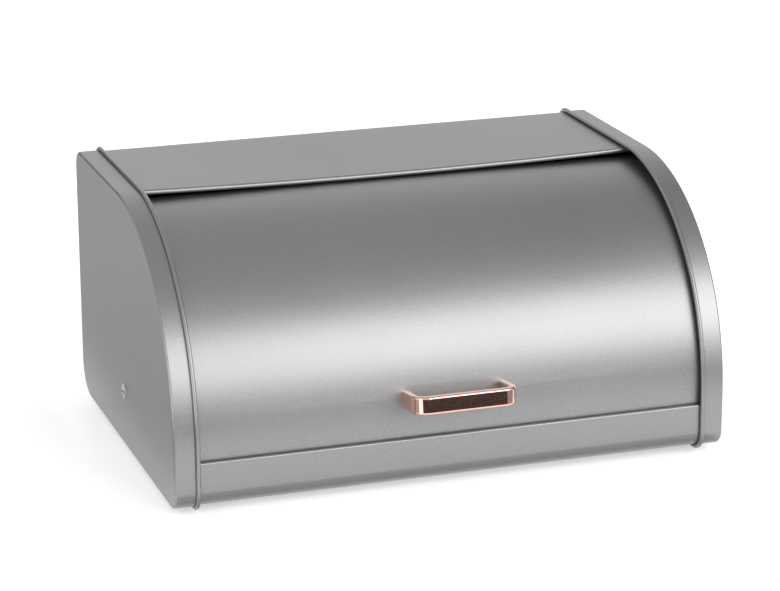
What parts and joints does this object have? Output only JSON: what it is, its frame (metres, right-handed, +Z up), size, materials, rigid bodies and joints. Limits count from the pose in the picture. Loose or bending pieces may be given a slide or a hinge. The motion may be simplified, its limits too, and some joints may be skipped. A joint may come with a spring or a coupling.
{
  "type": "roll-top bread box",
  "caption": "Roll-top bread box: sheet-steel case with beaded end caps, a curved lid that turns back into it on side pivots, a low front sill and a copper bow handle.",
  "frame": {"origin": "on the counter under the box, midway between the two end caps and midway between the handle's front and the back's bead", "axes": "+X to the right end cap seen from the front, -Y out of the front, +Z up"},
  "size_m": [0.4032, 0.3018, 0.1931],
  "materials": {
    "cap_paint": "satin grey metallic paint with a fine grain",
    "panel_paint": "satin grey metallic paint with a fine grain",
    "lid_paint": "satin grey metallic paint with a fine grain",
    "copper_plate": "polished rose-copper plating",
    "zinc": "bright zinc plating",
    "plain_steel": "plain zinc-plated steel",
    "nylon": "natural nylon",
    "rubber": "matt black rubber"
  },
  "bodies": {
    "case": {"side_cap_left": "cap_paint", "side_cap_right": "cap_paint", "top_back_panel": "panel_paint", "base_front_panel": "panel_paint", "foot_front_left": "rubber", "foot_front_right": "rubber", "foot_back_left": "rubber", "foot_back_right": "rubber", "pivot_screw_left": "zinc", "pivot_screw_right": "zinc", "pivot_bush_left": "nylon", "pivot_bush_right": "nylon", "pivot_washer_left": "plain_steel", "pivot_washer_right": "plain_steel", "pivot_nut_left": "plain_steel", "pivot_nut_right": "plain_steel", "closed_stop_stud_left": "plain_steel", "closed_stop_stud_right": "plain_steel", "closed_stop_sleeve_left": "rubber", "closed_stop_sleeve_right": "rubber", "open_stop_stud_left": "plain_steel", "open_stop_stud_right": "plain_steel", "open_stop_sleeve_left": "rubber", "open_stop_sleeve_right": "rubber"},
    "lid": {"lid_sheet": "lid_paint", "lid_arm_left": "lid_paint", "lid_arm_right": "lid_paint", "handle": "copper_plate", "handle_screws": "plain_steel", "handle_washers": "plain_steel"}
  },
  "joints": [
    {"name": "lid_roll", "type": "hinge", "parent": "case", "child": "lid", "pos_m": [0, 0.01324, 0.0461], "axis": [-1, 0, 0], "range_deg": [0, 62]}
  ]
}
